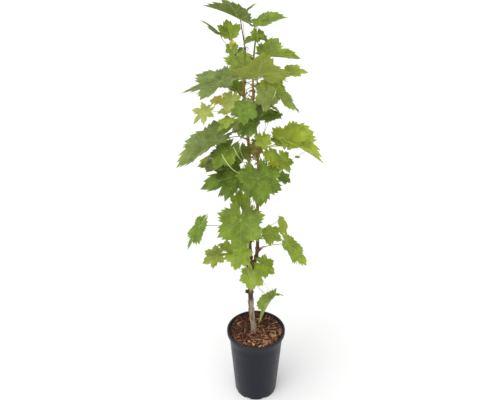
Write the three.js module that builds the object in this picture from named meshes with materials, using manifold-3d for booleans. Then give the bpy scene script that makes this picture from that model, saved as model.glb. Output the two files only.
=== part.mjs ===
// A young grapevine with two climbing canes in a tall round nursery pot.
// Millimetres, +Z up. The origin is the centre of the pot's flat underside, +X is to the right
// and -Y is the side that the broadest leaves face.
import * as THREE from "three";
import { mergeVertices } from "three/addons/utils/BufferGeometryUtils.js";
import Module from "manifold-3d";

const wasm = await Module();
wasm.setup();

// ---------------------------------------------------------------- driving dimensions
const POT_HEIGHT = 200;
const RIM_RADIUS = 75.5;
const LIP_HEIGHT = 10;
const BODY_TOP_RADIUS = 70;
const BASE_RADIUS = 55;
const WALL = 1.8;
const FLOOR = 2.4;
const DRAIN_SLOTS = 8;
const SLOT_WIDTH = 14;
const SLOT_HEIGHT = 9;
const SOIL_LEVEL = 192;
const SOIL_ROUGHNESS = 2.2;
const GAP = 0.3;
const CLEARANCE = 0.4;
const BLADE_THICKNESS = 0.013;
const STALK_RADIUS = 1.1;
const SMALL_LEAF = 48;
const STEM_RADIUS = 2.2;
const YOUNG_SIZE = 19;
const YOUNG_DISTANCE = 34;
const YOUNG_SPREAD = 150;
const SEED = 11;

// Limbs are [x, y, z, radius] stations from foot to tip.
const TRUNK_ROUTE = [
  [-5, 2, SOIL_LEVEL - 6, 9],
  [-6, 2, SOIL_LEVEL + 9, 6.6],
  [-11, 3, 250, 6.3],
  [-14, 3, 305, 6.1],
  [-13, 2, 360, 6.1],
  [-10, 0, 398, 7.6],
  [-9, 0, 412, 6.4],
];
const PRUNED_STUB_ROUTE = [
  [-14, 3, 315, 4.2],
  [-20, 2, 319, 4],
  [-26, 1, 322, 3.2],
];
const CANE_ROUTES = {
  left_cane: [
    [-12, 2, 402, 5],
    [-15, 3, 440, 4.4],
    [-19, 3, 574, 3.7],
    [-18, 3, 704, 3.2],
    [-28, 2, 843, 2.6],
    [-29, 2, 890, 2.2],
    [-26, 0, 936, 1.8],
  ],
  right_cane: [
    [-7, -1, 402, 5],
    [1, -3, 440, 4.4],
    [2, -4, 574, 3.5],
    [2, -4, 704, 3],
    [-9, -5, 843, 2.3],
    [-8, -5, 930, 1.9],
    [-5, -5, 966, 1.6],
  ],
};
const SPUR_ROUTES = {
  left_spur: [
    [-14, 0, 396, 4.4],
    [-30, -1, 407, 3.6],
    [-44, -1, 422, 2.8],
  ],
  right_spur: [
    [1, -3, 441, 3.4],
    [9, -4, 453, 2.6],
    [17, -4, 460, 1.8],
  ],
};

// Roundness of each kind of limb: [sides, steps from foot to tip].
const TRUNK_FORM = [12, 15];
const STUB_FORM = [7, 3];
const CANE_FORM = [7, 22];
const SPUR_FORM = [7, 4];
const STEM_FORM = [5, 2];
const ROUTE_SAMPLES = 200;

// Blade outline: lobe tips and the hollows between them, as [angle from the midrib, reach].
const LOBES = [
  [0, 1],
  [52, 0.9],
  [104, 0.76],
  [164, 0.65],
];
const HOLLOWS = [
  [27, 0.76],
  [79, 0.66],
  [134, 0.57],
  [180, 0.12],
];
const LARGE_OUTLINE = [0, 27, 40, 52, 79, 104, 134, 164, 180];
const SMALL_OUTLINE = [0, 27, 52, 79, 104, 164, 180];

// One leaf: where the stalk meets the blade, the bearing and the dip of its tip, its roll about
// the midrib (left side up is positive) and its size from the stalk to the tip. The stalk bows
// towards the two points in `by`, where they are given.
function leaf(at, tip, dip, roll, size, more = {}) {
  return { at, tip, dip, roll, size, fold: 8, sag: 0.12, deep: 0, base: 1, wide: 1, ...more };
}

// Each spray grows on a cane at a height and bearing. Its stem carries the stalks of the named
// leaves, and `young` more small leaves that are placed by the seeded rule further down.
const SPRAYS = {
  spray_top_left: {
    cane: "left_cane", stem: 9, young: 0,
    leaves: [
      leaf([-35, 0, 1011], 176, -28, 24, 76, { fold: 22, base: 0.68 }),
      leaf([-32, 12, 1014], 20, -44, -22, 40, { base: 0.3, wide: 0.8 }),
    ],
  },
  spray_upper_left: {
    cane: "left_cane", height: 915, bearing: 170, stem: 15, young: 0,
    leaves: [
      leaf([-57, 0, 972], 105, -46, 0, 43, { fold: 36, base: 0.3 }),
      leaf([-78, 2, 980], 178, -42, 8, 46, { base: 0.3, wide: 0.6 }),
      leaf([-51, -10, 957], 100, -75, 0, 16, { fold: 35, wide: 0.8 }),
      leaf([-52, -12, 955], -100, 60, 0, 20, { fold: 20 }),
      leaf([-34, -12, 949], 200, 25, 0, 17, { fold: 20 }),
    ],
  },
  spray_shoot_tip: {
    cane: "right_cane", stem: 14, young: 0,
    leaves: [
      leaf([-1, -40, 1009], 10, -20, 0, 59, { fold: 18, base: 0.3 }),
      leaf([-7, -17, 977], 195, 18, 0, 27, { base: 0.5 }),
      leaf([2, -14, 981], -20, 22, 0, 24, { base: 0.5 }),
      leaf([-1, -22, 987], -88, 50, 0, 20),
    ],
  },
  spray_upper_right: {
    cane: "right_cane", height: 905, bearing: 0, stem: 8, young: 0,
    leaves: [leaf([12, -10, 938], 12, 0, 5, 78, { fold: 20, base: 0.35, deep: 0.15 })],
  },
  spray_high_left: {
    cane: "left_cane", height: 845, bearing: 190, stem: 12, young: 0,
    leaves: [
      leaf([-76, -18, 886], 186, 13, -10, 86, { fold: 14, base: 0.8, deep: 0.15, wide: 0.8 }),
      leaf([-14, 50, 890], 165, -22, -15, 62, { base: 0.7 }),
      leaf([-42, 20, 878], 200, 12, 0, 26, { base: 0.3 }),
    ],
  },
  spray_high_right: {
    cane: "right_cane", height: 870, bearing: -30, stem: 10, young: 0,
    leaves: [
      leaf([2, -30, 904], -80, -55, -8, 76, { fold: -20, sag: 0.05, base: 0.3, wide: 1.1 }),
      leaf([64, 8, 897], 3, -4, 6, 44, { base: 0.4 }),
    ],
  },
  spray_pale_left: {
    cane: "left_cane", height: 800, bearing: 200, stem: 20, young: 0,
    leaves: [
      leaf([-56, -24, 848], 240, 50, 0, 32),
      leaf([-111, -25, 819], 200, 34, -20, 38, { deep: 0.35 }),
      leaf([-88, -20, 841], 50, -30, 0, 20),
      leaf([-60, -56, 813], 205, 30, 0, 34, { deep: 0.2, base: 0.7 }),
      leaf([-38, 26, 846], 130, -45, 0, 34, { base: 0.3 }),
      leaf([-60, -30, 826], 190, 10, 0, 28),
    ],
  },
  spray_centre_high: {
    cane: "left_cane", height: 790, bearing: -90, stem: 14, young: 1,
    leaves: [
      leaf([-25, -60, 847], -105, 60, 0, 41, { fold: 16, base: 0.7 }),
      leaf([-1, -32, 838], -80, 72, 0, 34, { base: 0.5, wide: 0.5 }),
      leaf([-7, -46, 803], 205, 40, 0, 46, { fold: 15, base: 0.6 }),
    ],
  },
  spray_right_hanging: {
    cane: "right_cane", height: 820, bearing: -20, stem: 16, young: 1,
    leaves: [
      leaf([27, -18, 881], -95, 75, 0, 40, { base: 0.6 }),
      leaf([34, -24, 880], -60, 60, 0, 34),
      leaf([18, -42, 870], -92, 66, 0, 42, { base: 0.8, wide: 0.8 }),
      leaf([47, -25, 857], 0, 35, 0, 57, { base: 0.3 }),
      leaf([44, -12, 805], 184, 6, 0, 46, { base: 0.4 }),
    ],
  },
  spray_right_big: {
    cane: "right_cane", height: 715, bearing: 0, stem: 12, young: 0,
    leaves: [
      leaf([68, -20, 748], -2, 26, 4, 91, { fold: 33, base: 0.5 }),
      leaf([66, -28, 744], 72, -44, 0, 56, { base: 0.4 }),
      leaf([50, -25, 746], 162, -28, 0, 36, { base: 0.3, wide: 0.32 }),
    ],
  },
  spray_right_mid: {
    cane: "right_cane", height: 665, bearing: -20, stem: 14, young: 0,
    leaves: [
      leaf([12, -42, 764], -70, 50, 0, 26),
      leaf([28, -32, 723], -60, 50, 0, 26),
      leaf([56, -36, 712], -40, 50, 0, 36, { deep: 0.1 }),
      leaf([38, -22, 692], -60, 60, 0, 24),
      leaf([57, -12, 655], -10, 25, 20, 24),
      leaf([88, -20, 709], 20, 0, 0, 9),
    ],
  },
  spray_left_big: {
    cane: "left_cane", height: 740, bearing: 185, stem: 14, young: 0,
    leaves: [leaf([-93, -25, 753], 193, 29, -20, 100, { fold: 36, base: 1.05, wide: 0.58 })],
  },
  spray_left_mid: {
    cane: "left_cane", height: 702, bearing: 200, stem: 12, young: 0,
    leaves: [
      leaf([-66, -40, 735], 225, 34, 0, 50),
      leaf([-103, -35, 719], 195, 32, 70, 40, { base: 0.4, wide: 0.3 }),
      leaf([-86, -40, 699], 180, -3, 0, 44),
      leaf([-38, -14, 722], -95, 60, 0, 31),
    ],
  },
  spray_left_low: {
    cane: "left_cane", height: 620, bearing: 200, stem: 12, young: 0,
    leaves: [
      leaf([-46, -52, 679], 197, 6, -20, 78, { deep: 0.24, base: 0.7, wide: 1.12 }),
      leaf([-54, -12, 662], 207, 50, 0, 62, { base: 0.5, wide: 0.75 }),
    ],
  },
  spray_front_centre: {
    cane: "right_cane", height: 640, bearing: -90, stem: 14, young: 0,
    leaves: [leaf([1, -85, 690], -71, 56, -14, 58, { fold: 16, base: 1.15, wide: 1.19 })],
  },
  spray_front_low: {
    cane: "left_cane", height: 540, bearing: -100, stem: 14, young: 0,
    leaves: [
      leaf([-36, -80, 582], -94, 60, 0, 70, { fold: 14 }),
      leaf([-38, -40, 602], 100, -60, 0, 32),
    ],
  },
  spray_far_left: {
    cane: "left_cane", height: 500, bearing: 190, stem: 10, young: 0,
    leaves: [leaf([-132, -30, 537], 212, 51, -6, 63, { base: 0.8, wide: 0.5 })],
  },
  spray_right_low: {
    cane: "right_cane", height: 500, bearing: -15, stem: 10, young: 0,
    leaves: [
      leaf([24, -34, 520], -20, 20, 20, 40, { base: 0.6 }),
      leaf([58, 8, 527], -34, 62, 0, 48, { base: 0.4, wide: 0.5 }),
    ],
  },
  spray_far_right: {
    cane: "right_cane", height: 455, bearing: -60, stem: 8, young: 0,
    leaves: [leaf([73, -36, 491], -20, 44, 8, 69, { fold: 12, base: 0.6, wide: 0.61 })],
  },
  spray_bottom_left: {
    cane: "left_cane", height: 470, bearing: 190, stem: 10, young: 0,
    leaves: [
      leaf([-95, -35, 456], 196, 24, -20, 40, { deep: 0.1 }),
      leaf([-66, -30, 473], 158, -14, 0, 30),
      leaf([-41, -45, 470], -112, 44, 0, 43, { wide: 1.12 }),
    ],
  },
  spray_bottom_front: {
    cane: "right_cane", height: 430, bearing: -70, stem: 8, young: 0,
    leaves: [
      leaf([-10, -32, 400], -108, 66, 0, 44, { base: 0.85 }),
      leaf([15, -30, 424], -8, 34, 30, 38),
    ],
  },
  spray_lowest: {
    cane: "left_cane", height: 425, bearing: -130, stem: 6, young: 0,
    leaves: [
      leaf([38, -35, 328], 190, 60, 6, 80, {
        fold: 30, base: 0.55, wide: 0.6, by: [[-38, -52, 440], [-5, -74, 385]] }),
      leaf([40, -34, 340], 0, 2, 0, 28, { base: 0.2, wide: 0.26 }),
    ],
  },
  spray_back_low: {
    cane: "left_cane", height: 470, bearing: 100, stem: 12, young: 1,
    leaves: [
      leaf([-25, 60, 500], 100, 50, 0, 58),
      leaf([12, 55, 474], 50, 45, 0, 46),
    ],
  },
  spray_back_middle: {
    cane: "right_cane", height: 590, bearing: 90, stem: 12, young: 0,
    leaves: [
      leaf([-15, 72, 620], 90, 48, 0, 64),
      leaf([-62, 48, 642], 155, 40, 0, 52),
      leaf([32, 52, 640], 40, 45, 0, 46),
    ],
  },
  spray_back_upper: {
    cane: "left_cane", height: 720, bearing: 100, stem: 12, young: 1,
    leaves: [
      leaf([-30, 66, 758], 110, 45, 0, 60),
      leaf([6, 54, 785], 60, 40, 0, 44),
      leaf([-3, 34, 708], 90, 60, 0, 42, { wide: 0.6 }),
    ],
  },
  spray_back_high: {
    cane: "right_cane", height: 810, bearing: 80, stem: 12, young: 1,
    leaves: [
      leaf([24, 60, 836], 60, 40, 0, 54),
      leaf([-50, 45, 820], 150, 35, 0, 40),
    ],
  },
  spray_back_top: {
    cane: "left_cane", height: 860, bearing: 95, stem: 10, young: 1,
    leaves: [leaf([25, 64, 869], 48, 30, 0, 50)],
  },
};

// ---------------------------------------------------------------- solids
const rad = THREE.MathUtils.degToRad;

// A closed three.js geometry as a solid that can be joined and cut.
function solid(geometry) {
  const bare = geometry.index ? geometry : mergeVertices(geometry);
  bare.deleteAttribute("uv");
  bare.deleteAttribute("normal");
  const welded = mergeVertices(bare, 1e-4);
  const vertProperties = new Float32Array(welded.attributes.position.array);
  const triVerts = new Uint32Array(welded.index.array);
  return new wasm.Manifold(new wasm.Mesh({ numProp: 3, vertProperties, triVerts }));
}

// A solid's faces as a three.js geometry.
function surface(body) {
  const mesh = body.getMesh();
  const geometry = new THREE.BufferGeometry();
  geometry.setAttribute("position", new THREE.BufferAttribute(new Float32Array(mesh.vertProperties), 3));
  geometry.setIndex(new THREE.BufferAttribute(new Uint32Array(mesh.triVerts), 1));
  geometry.computeVertexNormals();
  return geometry;
}

// A cylinder bent along a curve; radiusAt gives its radius from 0 at the foot to 1 at the tip.
function bentCylinder(curve, radiusAt, sides, steps) {
  const geometry = new THREE.CylinderGeometry(1, 1, 1, sides, steps);
  const frames = curve.computeFrenetFrames(steps, false);
  const place = geometry.attributes.position;
  for (let i = 0; i < place.count; i += 1) {
    const step = Math.round((place.getY(i) + 0.5) * steps);
    const radius = radiusAt(step / steps);
    const point = curve.getPointAt(step / steps);
    point.addScaledVector(frames.normals[step], place.getX(i) * radius);
    point.addScaledVector(frames.binormals[step], -place.getZ(i) * radius);
    place.setXYZ(i, point.x, point.y, point.z);
  }
  return geometry;
}

// Radius of a limb at a share of its stations.
function limbRadius(route, share) {
  const place = share * (route.length - 1);
  const i = Math.min(Math.floor(place), route.length - 2);
  return THREE.MathUtils.lerp(route[i][3], route[i + 1][3], place - i);
}

function limb(route, [sides, steps], extra = 0) {
  const curve = new THREE.CatmullRomCurve3(route.map(([x, y, z]) => new THREE.Vector3(x, y, z)));
  const lengths = curve.getLengths(ROUTE_SAMPLES);
  const total = lengths[lengths.length - 1];
  const radiusAt = (u) => {
    const k = lengths.findIndex((length) => length >= u * total - 1e-6);
    return limbRadius(route, k / ROUTE_SAMPLES) + extra;
  };
  return solid(bentCylinder(curve, radiusAt, sides, steps));
}

// ---------------------------------------------------------------- leaves
// How far the blade reaches at an angle from the midrib, as a share of its size.
function reach(angle, { deep, base }) {
  const turn = Math.abs(angle);
  const k = LOBES.findLastIndex(([lobe]) => lobe <= turn + 1e-6);
  const [lobe, far] = LOBES[k];
  const [hollow, bottom] = HOLLOWS[k];
  const near = bottom * (hollow < 180 ? 1 - deep : 1);
  const rear = THREE.MathUtils.lerp(1, base, THREE.MathUtils.smoothstep(turn, 60, 130));
  if (turn <= hollow) {
    return rear * THREE.MathUtils.lerp(far, near, ((turn - lobe) / (hollow - lobe)) ** 1.2);
  }
  const [next, nextFar] = LOBES[k + 1];
  return rear * THREE.MathUtils.lerp(near, nextFar, ((turn - hollow) / (next - hollow)) ** 0.83);
}

// The blade's own axes: towards the tip, to the left, and out of the upper side.
function bladeAxes({ tip, dip, roll }) {
  const [a, d, r] = [rad(tip), rad(dip), rad(roll)];
  const along = new THREE.Vector3(Math.cos(a) * Math.cos(d), Math.sin(a) * Math.cos(d), -Math.sin(d));
  const level = new THREE.Vector3(-Math.sin(a), Math.cos(a), 0);
  const up = new THREE.Vector3().crossVectors(along, level);
  const left = level.clone().multiplyScalar(Math.cos(r)).addScaledVector(up, Math.sin(r));
  const out = up.clone().multiplyScalar(Math.cos(r)).addScaledVector(level, -Math.sin(r));
  return { along, left, out };
}

// A point of the blade: folded up along the midrib and sagging towards its edge.
function bladePoint(spec, axes, angle, share, lift) {
  const span = reach(angle, spec) * share;
  const forward = span * Math.cos(rad(angle));
  const aside = span * Math.sin(rad(angle)) * spec.wide;
  const rise = Math.abs(aside) * Math.sin(rad(spec.fold)) - spec.sag * span * span;
  const point = new THREE.Vector3(...spec.at);
  point.addScaledVector(axes.along, forward * spec.size);
  point.addScaledVector(axes.left, aside * Math.cos(rad(spec.fold)) * spec.size);
  return point.addScaledVector(axes.out, (rise + lift) * spec.size);
}

function blade(spec) {
  const axes = bladeAxes(spec);
  const half = spec.size > SMALL_LEAF ? LARGE_OUTLINE : SMALL_OUTLINE;
  const angles = [...half, ...half.slice(1, -1).reverse().map((angle) => -angle)];
  const rings = spec.size > SMALL_LEAF ? [0.5, 1] : [1];
  const count = angles.length;
  const points = [];
  for (const lift of [BLADE_THICKNESS / 2, -BLADE_THICKNESS / 2]) {
    points.push(bladePoint(spec, axes, 0, 0, lift));
    for (const share of rings) {
      points.push(...angles.map((angle) => bladePoint(spec, axes, angle, share, lift)));
    }
  }
  const side = 1 + rings.length * count;
  const index = [];
  for (let i = 0; i < count; i += 1) {
    const j = (i + 1) % count;
    index.push(0, 1 + i, 1 + j, side, side + 1 + j, side + 1 + i);
    for (let ring = 1; ring < rings.length; ring += 1) {
      const [near, far] = [1 + (ring - 1) * count, 1 + ring * count];
      index.push(near + i, far + i, far + j, near + i, far + j, near + j);
      index.push(side + near + i, side + far + j, side + far + i);
      index.push(side + near + i, side + near + j, side + far + j);
    }
    const edge = 1 + (rings.length - 1) * count;
    index.push(edge + i, side + edge + i, side + edge + j, edge + i, side + edge + j, edge + j);
  }
  const geometry = new THREE.BufferGeometry();
  const flat = points.flatMap((point) => point.toArray());
  geometry.setAttribute("position", new THREE.Float32BufferAttribute(flat, 3));
  geometry.setIndex(index);
  return solid(geometry);
}

// The stalk curves from the spray's fork to the blade and ends inside it.
function stalk(fork, spec) {
  const { along, out } = bladeAxes(spec);
  const foot = new THREE.Vector3(...fork);
  const head = new THREE.Vector3(...spec.at);
  const span = foot.distanceTo(head);
  const rising = foot.clone().lerp(head, 0.35).add(new THREE.Vector3(0, 0, 0.06 * span));
  const bowed = head.clone().lerp(foot, 0.2);
  bowed.addScaledVector(out, -0.08 * span);
  bowed.addScaledVector(along, -0.04 * span);
  const [near, far] = spec.by?.map((point) => new THREE.Vector3(...point)) ?? [rising, bowed];
  const curve = new THREE.CubicBezierCurve3(foot, near, far, head);
  const thick = STALK_RADIUS * THREE.MathUtils.clamp(spec.size / 60, 0.6, 1.1);
  return solid(bentCylinder(curve, (u) => thick * (1.25 - 0.4 * u), 3, span > 60 ? 3 : 2));
}

// ---------------------------------------------------------------- pot and soil
function potSolid() {
  const lipFoot = POT_HEIGHT - LIP_HEIGHT;
  const profile = [
    [0, 0],
    [BASE_RADIUS - 1.5, 0],
    [BASE_RADIUS, 1.5],
    [BODY_TOP_RADIUS, lipFoot],
    [RIM_RADIUS, lipFoot + 0.6],
    [RIM_RADIUS, POT_HEIGHT - 2],
    [RIM_RADIUS - 1.6, POT_HEIGHT],
    [BODY_TOP_RADIUS + 0.4, POT_HEIGHT],
    [BODY_TOP_RADIUS - WALL + 0.4, POT_HEIGHT - 2],
    [BODY_TOP_RADIUS - WALL, lipFoot],
    [BASE_RADIUS - WALL, FLOOR],
    [0, FLOOR],
  ].map(([r, z]) => new THREE.Vector2(r, z));
  const lathe = new THREE.LatheGeometry(profile, 32).rotateX(Math.PI / 2);
  let pot = solid(lathe);
  for (let i = 0; i < DRAIN_SLOTS; i += 1) {
    const slot = new THREE.BoxGeometry(SLOT_WIDTH, SLOT_WIDTH, SLOT_HEIGHT).translate(BASE_RADIUS, 0, 0);
    slot.rotateZ(((i + 0.5) / DRAIN_SLOTS) * 2 * Math.PI);
    pot = pot.subtract(solid(slot));
  }
  return pot;
}

function soilSolid() {
  const slope = (BODY_TOP_RADIUS - BASE_RADIUS) / (POT_HEIGHT - LIP_HEIGHT);
  const wallAt = (z) => BASE_RADIUS - WALL + slope * z - GAP - 0.4;
  const top = [16, 30, 44, 57, wallAt(SOIL_LEVEL)];
  const profile = [
    [0, FLOOR + GAP],
    [wallAt(FLOOR) - 8, FLOOR + GAP],
    [wallAt(14), 14],
    ...top.toReversed().map((r) => [r, SOIL_LEVEL]),
    [0, SOIL_LEVEL],
  ].map(([r, z]) => new THREE.Vector2(r, z));
  const lathe = new THREE.LatheGeometry(profile, 28).rotateX(Math.PI / 2);
  const place = lathe.attributes.position;
  for (let i = 0; i < place.count; i += 1) {
    const [x, y, z] = [place.getX(i), place.getY(i), place.getZ(i)];
    if (z > SOIL_LEVEL - 1 && Math.hypot(x, y) > 25) {
      const bump = Math.sin(0.31 * x + 1.3) * Math.cos(0.27 * y) + Math.sin(0.17 * (x - y));
      place.setZ(i, z + bump * SOIL_ROUGHNESS * 0.5 - 1);
    }
  }
  return solid(lathe);
}

// ---------------------------------------------------------------- assembly
const MATERIALS = {
  pot: { color: 0x303138, roughness: 0.45, metalness: 0 },
  soil: { color: 0x6e4228, roughness: 0.95, metalness: 0 },
  bark: { color: 0x9a8468, roughness: 0.85, metalness: 0 },
  cane: { color: 0x8a5a35, roughness: 0.7, metalness: 0 },
  leaf: { color: 0x5f8f2e, roughness: 0.55, metalness: 0 },
};

const group = new THREE.Group();
const taken = [];

function addNode(name, body, kind) {
  const mesh = new THREE.Mesh(surface(body), new THREE.MeshStandardMaterial(MATERIALS[kind]));
  mesh.name = name;
  group.add(mesh);
  taken.push(body);
}

function touches(body) {
  return taken.some((other) => !other.intersect(body).isEmpty());
}

// The centre and radius of a cane at a height, and its heading there.
function caneAt(name, height) {
  const route = CANE_ROUTES[name];
  const curve = new THREE.CatmullRomCurve3(route.map(([x, y, z]) => new THREE.Vector3(x, y, z)));
  const points = curve.getPoints(ROUTE_SAMPLES);
  const found = points.findIndex((point) => point.z >= height);
  const share = (found < 0 ? ROUTE_SAMPLES : found) / ROUTE_SAMPLES;
  const centre = points[Math.round(share * ROUTE_SAMPLES)];
  return { centre, radius: limbRadius(route, share), onward: curve.getTangent(share) };
}

// Repeatable numbers from 0 to 1.
function seeded(seed) {
  let state = (seed * 2654435761) >>> 0;
  return () => {
    state = (Math.imul(state, 1664525) + 1013904223) >>> 0;
    return state / 2 ** 32;
  };
}

// Small young leaves round a stem's fork, turned at random to its outer side.
function youngLeaves(fork, bearing, count, random) {
  return Array.from({ length: count }, () => {
    const turn = bearing + (random() - 0.5) * YOUNG_SPREAD;
    const distance = YOUNG_DISTANCE * (0.6 + 0.6 * random());
    const lift = distance * (0.9 * random() - 0.1);
    const [x, y, z] = fork;
    const at = [x + distance * Math.cos(rad(turn)), y + distance * Math.sin(rad(turn)), z + lift];
    return leaf(at, turn, 10 + 40 * random(), 0, YOUNG_SIZE * (0.7 + 0.6 * random()));
  });
}

// A spray: a short stem on the cane, stalks from its end and a blade on each, all in one solid.
// With no bearing the stem carries the cane on from its tip. A leaf that would touch what has
// already grown is left out.
function spray({ cane, height = Infinity, bearing, stem, young, leaves }, seed) {
  const { centre, radius, onward } = caneAt(cane, height);
  const atTip = bearing === undefined;
  const away = atTip ? onward : new THREE.Vector3(Math.cos(rad(bearing)), Math.sin(rad(bearing)), 0);
  const foot = centre.clone().addScaledVector(away, atTip ? CLEARANCE : radius + CLEARANCE);
  const fork = foot.clone().addScaledVector(away, stem * 0.8).add(new THREE.Vector3(0, 0, stem * 0.6));
  const middle = foot.clone().addScaledVector(away, stem * 0.5);
  const curve = new THREE.QuadraticBezierCurve3(foot, middle, fork);
  const thick = Math.min(radius, STEM_RADIUS);
  let body = solid(bentCylinder(curve, (u) => thick * (1 - 0.3 * u), ...STEM_FORM));
  const start = fork.clone().lerp(middle, 0.25).toArray();
  for (const spec of [...leaves, ...youngLeaves(start, bearing ?? 0, young, seeded(seed))]) {
    const grown = blade(spec).add(stalk(start, spec));
    if (!touches(grown)) {
      body = body.add(grown);
    }
  }
  return body;
}

addNode("pot", potSolid(), "pot");
addNode("soil", soilSolid(), "soil");
const ground = new THREE.BoxGeometry(BASE_RADIUS, BASE_RADIUS, 20).translate(0, 0, SOIL_LEVEL + GAP - 10);
const trunk = limb(TRUNK_ROUTE, TRUNK_FORM).add(limb(PRUNED_STUB_ROUTE, STUB_FORM));
addNode("trunk", trunk.subtract(solid(ground)), "bark");
const fits = { trunk: limb(TRUNK_ROUTE, TRUNK_FORM, GAP) };
for (const [name, route] of Object.entries(CANE_ROUTES)) {
  let cane = limb(route, CANE_FORM);
  for (const fit of Object.values(fits)) {
    cane = cane.subtract(fit);
  }
  addNode(name, cane.decompose().sort((a, b) => b.volume() - a.volume())[0], "cane");
  fits[name] = limb(route, CANE_FORM, GAP);
}
for (const [name, route] of Object.entries(SPUR_ROUTES)) {
  let spur = limb(route, SPUR_FORM);
  for (const fit of Object.values(fits)) {
    spur = spur.subtract(fit);
  }
  addNode(name, spur.decompose().sort((a, b) => b.volume() - a.volume())[0], "bark");
}
Object.entries(SPRAYS).forEach(([name, spec], order) => {
  addNode(name, spray(spec, SEED + order), "leaf");
});

export default group;
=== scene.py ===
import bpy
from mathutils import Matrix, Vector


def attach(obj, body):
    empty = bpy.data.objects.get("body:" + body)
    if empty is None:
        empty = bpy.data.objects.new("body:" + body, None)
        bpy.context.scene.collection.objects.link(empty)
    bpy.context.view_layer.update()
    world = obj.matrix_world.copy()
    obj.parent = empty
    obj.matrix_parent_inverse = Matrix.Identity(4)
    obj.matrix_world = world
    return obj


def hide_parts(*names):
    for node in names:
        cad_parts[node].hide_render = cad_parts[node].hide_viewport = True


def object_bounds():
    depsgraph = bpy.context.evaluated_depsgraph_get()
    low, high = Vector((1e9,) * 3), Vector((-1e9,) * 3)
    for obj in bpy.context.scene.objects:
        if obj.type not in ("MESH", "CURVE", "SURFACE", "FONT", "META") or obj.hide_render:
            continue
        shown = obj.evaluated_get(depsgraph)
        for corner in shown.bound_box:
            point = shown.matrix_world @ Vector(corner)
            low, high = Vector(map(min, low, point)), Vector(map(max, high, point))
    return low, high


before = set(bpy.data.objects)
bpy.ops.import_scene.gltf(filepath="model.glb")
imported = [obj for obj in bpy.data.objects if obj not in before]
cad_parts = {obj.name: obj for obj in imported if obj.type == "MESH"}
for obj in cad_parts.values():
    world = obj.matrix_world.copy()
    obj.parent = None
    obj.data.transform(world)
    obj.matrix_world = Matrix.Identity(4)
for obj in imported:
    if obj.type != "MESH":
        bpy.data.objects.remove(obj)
cad_box = [list(corner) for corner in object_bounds()]

import itertools
import math

import bpy
import numpy as np
from mathutils import Euler, Vector, noise

MM = 0.001

# ---------------- driving dimensions
POT_HEIGHT = 200
RIM_RADIUS = 75.5
LIP_HEIGHT = 10
BODY_TOP_RADIUS = 70
BASE_RADIUS = 55
WALL = 1.8
FLOOR = 2.4
DRAIN_SLOTS = 8
SLOT_SIZE = (14, 14, 9)
SOIL_LEVEL = 192
SOIL_HEAP = 4.5
CHIPS = 2000
SHREDS = 70
FINE_CHIPS = 0.55
CHIP_SHADES = (0.42, 0.92, 1.1)
CHIP_SECTIONS = 4
CLEARANCE = 0.4
SMALL_LEAF = 45
STEM_RADIUS = 2.2
STALK_RADIUS = 0.85
STALK_SIDES = 8
CANE_SAMPLES = 201
YOUNG_SIZE = 19
YOUNG_DISTANCE = 34
YOUNG_SPREAD = 150
SEED = 11
SHARP_EDGE = math.radians(55)
# The rings of a tube are turned by this direction, which no limb, stalk or tendril runs in.
TUBE_ASIDE = [0.31, 0.9, 0.17]

# Limbs are [x, y, z, radius] stations from foot to tip.
TRUNK_ROUTE = [
    [-5, 2, SOIL_LEVEL - 6, 9],
    [-6, 2, SOIL_LEVEL + 9, 6.6],
    [-11, 3, 250, 6.3],
    [-14, 3, 305, 6.1],
    [-13, 2, 360, 6.1],
    [-10, 0, 398, 7.6],
    [-9, 0, 412, 6.4],
]
TRUNK_LUMPS = [262, 318, 356, 396, 405]
PRUNED_STUB_ROUTE = [
    [-14, 3, 315, 4.2],
    [-20, 2, 319, 4],
    [-26, 1, 322, 3.2],
]
CANE_ROUTES = {
    "left_cane": [
        [-12, 2, 402, 5],
        [-15, 3, 440, 4.4],
        [-19, 3, 574, 3.7],
        [-18, 3, 704, 3.2],
        [-28, 2, 843, 2.6],
        [-29, 2, 890, 2.2],
        [-26, 0, 936, 1.8],
    ],
    "right_cane": [
        [-7, -1, 402, 5],
        [1, -3, 440, 4.4],
        [2, -4, 574, 3.5],
        [2, -4, 704, 3],
        [-9, -5, 843, 2.3],
        [-8, -5, 930, 1.9],
        [-5, -5, 966, 1.6],
    ],
}
SPUR_ROUTES = {
    "left_spur": [
        [-14, 0, 396, 4.4],
        [-30, -1, 407, 3.6],
        [-44, -1, 422, 2.8],
    ],
    "right_spur": [
        [1, -3, 441, 3.4],
        [9, -4, 453, 2.6],
        [17, -4, 460, 1.8],
    ],
}

# Blade outline: lobe tips and the hollows between them, as [angle from the midrib, reach].
LOBES = [[0, 1], [52, 0.9], [104, 0.76], [164, 0.65]]
HOLLOWS = [[27, 0.76], [79, 0.66], [134, 0.57], [180, 0.12]]
# One tooth from a lobe's tip to a hollow and one from a hollow to a tip, as [place, height].
TOOTH_FALLING = [(0, 0.5), (0.45, -0.12), (0.82, -0.5)]
TOOTH_RISING = [(0.18, -0.5), (0.55, -0.12), (1, 0.5)]
TOOTH = 0.11
# Depths of the blade's relief and the pitch of its quilting, as shares of the leaf's size.
SWELL = 0.04
BROAD_WAVE = 0.036
FINE_WAVE = 0.022
QUILT = 0.026
QUILT_PITCH = 0.19
VEIN_GROOVE = 0.018
LEAF_THICKNESS = 0.5
MAIN_VEINS = [0, 52, -52, 104, -104, 158, -158]
SIDE_VEINS = (0.2, 0.34, 0.48, 0.62, 0.76)
SIDE_VEINS_SMALL = (0.3, 0.55, 0.76)
RINGS = [0.05, 0.12, 0.2, 0.29, 0.38, 0.47, 0.56, 0.65, 0.74, 0.82, 0.89, 0.95, 1]

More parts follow.
